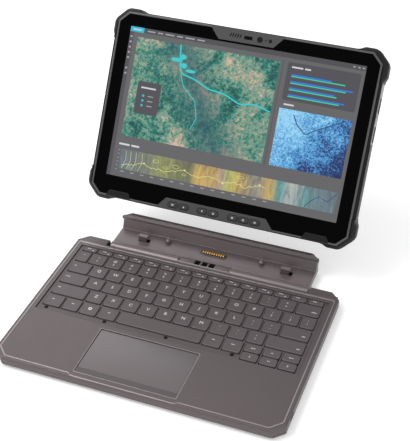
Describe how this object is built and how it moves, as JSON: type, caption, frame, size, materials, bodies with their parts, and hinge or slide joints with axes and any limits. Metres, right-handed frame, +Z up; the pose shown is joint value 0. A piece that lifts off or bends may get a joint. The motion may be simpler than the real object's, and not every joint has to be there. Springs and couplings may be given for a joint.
{
  "type": "data collector",
  "caption": "Rugged field data collector: a touch tablet with rubber corners, lifted out of the hinged dock bar of its detachable keyboard.",
  "frame": {"origin": "middle of the keyboard's underside, on the surface that it rests on", "axes": "+X to the user's right, +Y away from the user towards the dock, +Z up"},
  "size_m": [0.301, 0.3487, 0.2309],
  "materials": {
    "keyboard_shell": "fine-grained moulded plastic",
    "key_cap": "soft-touch key cap with pale legends",
    "key_metal": "satin black painted steel",
    "board_green": "solder-masked circuit board",
    "black_rubber": "matt rubber",
    "steel": "brushed steel",
    "black_screw": "blackened steel",
    "pad_surface": "satin glass-filled plastic",
    "pad_strip": "dark satin plastic",
    "dock_plastic": "fine-grained moulded plastic",
    "dock_bright": "satin metallic paint",
    "contact_gold": "gold plate",
    "tablet_shell": "powder-coated magnesium",
    "tablet_frame": "satin painted magnesium",
    "front_glass": "black-printed cover glass",
    "screen": "lit display",
    "bumper_rubber": "grained rubber",
    "plate_grey": "satin moulded plastic",
    "button_grey": "satin plastic with pale marks",
    "lens": "coated lens glass",
    "port_metal": "stamped steel shells",
    "battery_plastic": "ribbed moulded plastic",
    "latch_orange": "orange release plastic"
  },
  "bodies": {
    "keyboard": {"base_cover": "keyboard_shell", "deck_frame": "keyboard_shell", "key_plate": "key_metal", "keyboard_board": "board_green", "touchpad_strip": "pad_strip", "rubber_feet": "black_rubber", "deck_screws": "black_screw", "base_screws": "black_screw", "hinge_pins": "steel", "side_insert": "black_rubber"},
    "function_row": {"function_keys": "key_cap"},
    "number_row": {"number_keys": "key_cap"},
    "upper_letter_row": {"upper_letter_keys": "key_cap"},
    "home_letter_row": {"home_letter_keys": "key_cap"},
    "lower_letter_row": {"lower_letter_keys": "key_cap"},
    "bottom_row": {"bottom_keys": "key_cap"},
    "space": {"space_bar": "key_cap"},
    "arrows": {"arrow_keys": "key_cap"},
    "touchpad": {"touchpad": "pad_surface"},
    "dock": {"dock_chassis": "dock_plastic", "dock_back_cap": "dock_plastic", "dock_barrel": "dock_bright", "dock_center_cover": "dock_plastic", "contact_block": "pad_strip", "guide_pins": "dock_bright", "dock_foot": "black_rubber", "dock_screws": "black_screw"},
    "contacts": {"contact_pins": "contact_gold"},
    "latch": {"latch_bar": "steel", "latch_hooks": "dock_bright"},
    "tablet": {"rear_housing": "tablet_shell", "front_frame": "tablet_frame", "cover_glass": "front_glass", "display_panel": "screen", "dock_rail": "tablet_shell", "bumper_top_left": "bumper_rubber", "bumper_top_right": "bumper_rubber", "bumper_bottom_left": "bumper_rubber", "bumper_bottom_right": "bumper_rubber", "camera_plate": "plate_grey", "camera_glass": "lens", "button_plate": "plate_grey", "corner_tabs": "plate_grey", "port_block": "port_metal", "main_board": "board_green", "housing_screws": "black_screw", "rear_camera": "lens"},
    "button_1": {"front_button_1": "button_grey"},
    "button_2": {"front_button_2": "button_grey"},
    "button_3": {"front_button_3": "button_grey"},
    "button_4": {"front_button_4": "button_grey"},
    "button_5": {"front_button_5": "button_grey"},
    "button_6": {"front_button_6": "button_grey"},
    "button_7": {"front_button_7": "button_grey"},
    "port_door_upper": {"port_door_upper": "black_rubber"},
    "port_door_lower": {"port_door_lower": "black_rubber"},
    "battery_left": {"battery_left": "battery_plastic"},
    "battery_latch_left": {"battery_latch_left": "latch_orange"},
    "battery_right": {"battery_right": "battery_plastic"},
    "battery_latch_right": {"battery_latch_right": "latch_orange"}
  },
  "joints": [
    {"name": "function_row_press", "type": "slide", "parent": "keyboard", "child": "function_row", "axis": [0, 0, -1], "range_m": [0, 0.0014], "stiffness_N_per_m": 6000, "springref_m": -0.0006},
    {"name": "number_row_press", "type": "slide", "parent": "keyboard", "child": "number_row", "axis": [0, 0, -1], "range_m": [0, 0.0014], "stiffness_N_per_m": 5600, "springref_m": -0.0006},
    {"name": "upper_letter_row_press", "type": "slide", "parent": "keyboard", "child": "upper_letter_row", "axis": [0, 0, -1], "range_m": [0, 0.0014], "stiffness_N_per_m": 5600, "springref_m": -0.0006},
    {"name": "home_letter_row_press", "type": "slide", "parent": "keyboard", "child": "home_letter_row", "axis": [0, 0, -1], "range_m": [0, 0.0014], "stiffness_N_per_m": 5200, "springref_m": -0.0006},
    {"name": "lower_letter_row_press", "type": "slide", "parent": "keyboard", "child": "lower_letter_row", "axis": [0, 0, -1], "range_m": [0, 0.0014], "stiffness_N_per_m": 4800, "springref_m": -0.0006},
    {"name": "bottom_row_press", "type": "slide", "parent": "keyboard", "child": "bottom_row", "axis": [0, 0, -1], "range_m": [0, 0.0014], "stiffness_N_per_m": 2400, "springref_m": -0.0006},
    {"name": "space_press", "type": "slide", "parent": "keyboard", "child": "space", "axis": [0, 0, -1], "range_m": [0, 0.0014], "stiffness_N_per_m": 800, "springref_m": -0.0006},
    {"name": "arrows_press", "type": "slide", "parent": "keyboard", "child": "arrows", "axis": [0, 0, -1], "range_m": [0, 0.0014], "stiffness_N_per_m": 2400, "springref_m": -0.0006},
    {"name": "touchpad_click", "type": "hinge", "parent": "keyboard", "child": "touchpad", "pos_m": [-0.01, -0.02705, 0.0119], "axis": [1, 0, 0], "range_deg": [0, 0.4], "stiffness_Nm_per_rad": 18, "springref_deg": -0.23},
    {"name": "dock_hinge", "type": "hinge", "parent": "keyboard", "child": "dock", "pos_m": [0, 0.1044, 0.0075], "axis": [1, 0, 0], "range_deg": [0, 90]},
    {"name": "contact_press", "type": "slide", "parent": "dock", "child": "contacts", "axis": [0, 0, -1], "range_m": [0, 0.0009], "stiffness_N_per_m": 3000, "springref_m": -0.0004},
    {"name": "latch_slide", "type": "slide", "parent": "dock", "child": "latch", "axis": [1, 0, 0], "range_m": [0, 0.003], "stiffness_N_per_m": 500, "springref_m": -0.002},
    {"name": "tablet_lift", "type": "hinge", "parent": "dock", "child": "tablet", "pos_m": [0, 0.2051, 0.0093], "axis": [1, 0, 0], "range_deg": [0, 31]},
    {"name": "button_1_press", "type": "slide", "parent": "tablet", "child": "button_1", "axis": [0, 0.8572, -0.515], "range_m": [0, 0.0005], "stiffness_N_per_m": 3000, "springref_m": -0.0005},
    {"name": "button_2_press", "type": "slide", "parent": "tablet", "child": "button_2", "axis": [0, 0.8572, -0.515], "range_m": [0, 0.0005], "stiffness_N_per_m": 3000, "springref_m": -0.0005},
    {"name": "button_3_press", "type": "slide", "parent": "tablet", "child": "button_3", "axis": [0, 0.8572, -0.515], "range_m": [0, 0.0005], "stiffness_N_per_m": 3000, "springref_m": -0.0005},
    {"name": "button_4_press", "type": "slide", "parent": "tablet", "child": "button_4", "axis": [0, 0.8572, -0.515], "range_m": [0, 0.0005], "stiffness_N_per_m": 3000, "springref_m": -0.0005},
    {"name": "button_5_press", "type": "slide", "parent": "tablet", "child": "button_5", "axis": [0, 0.8572, -0.515], "range_m": [0, 0.0005], "stiffness_N_per_m": 3000, "springref_m": -0.0005},
    {"name": "button_6_press", "type": "slide", "parent": "tablet", "child": "button_6", "axis": [0, 0.8572, -0.515], "range_m": [0, 0.0005], "stiffness_N_per_m": 3000, "springref_m": -0.0005},
    {"name": "button_7_press", "type": "slide", "parent": "tablet", "child": "button_7", "axis": [0, 0.8572, -0.515], "range_m": [0, 0.0005], "stiffness_N_per_m": 3000, "springref_m": -0.0005},
    {"name": "port_door_upper_swing", "type": "hinge", "parent": "tablet", "child": "port_door_upper", "pos_m": [0.1464, 0.21517, 0.17731], "axis": [0, 0.515, 0.8572], "range_deg": [0, 100]},
    {"name": "port_door_lower_swing", "type": "hinge", "parent": "tablet", "child": "port_door_lower", "pos_m": [0.1464, 0.19982, 0.15177], "axis": [0, 0.515, 0.8572], "range_deg": [0, 100]},
    {"name": "battery_left_out", "type": "slide", "parent": "tablet", "child": "battery_left", "axis": [0, 0.8572, -0.515], "range_m": [0, 0.012]},
    {"name": "battery_latch_left_slide", "type": "slide", "parent": "tablet", "child": "battery_latch_left", "axis": [1, 0, 0], "range_m": [0, 0.005]},
    {"name": "battery_right_out", "type": "slide", "parent": "tablet", "child": "battery_right", "axis": [0, 0.8572, -0.515], "range_m": [0, 0.012]},
    {"name": "battery_latch_right_slide", "type": "slide", "parent": "tablet", "child": "battery_latch_right", "axis": [1, 0, 0], "range_m": [0, 0.005]}
  ]
}
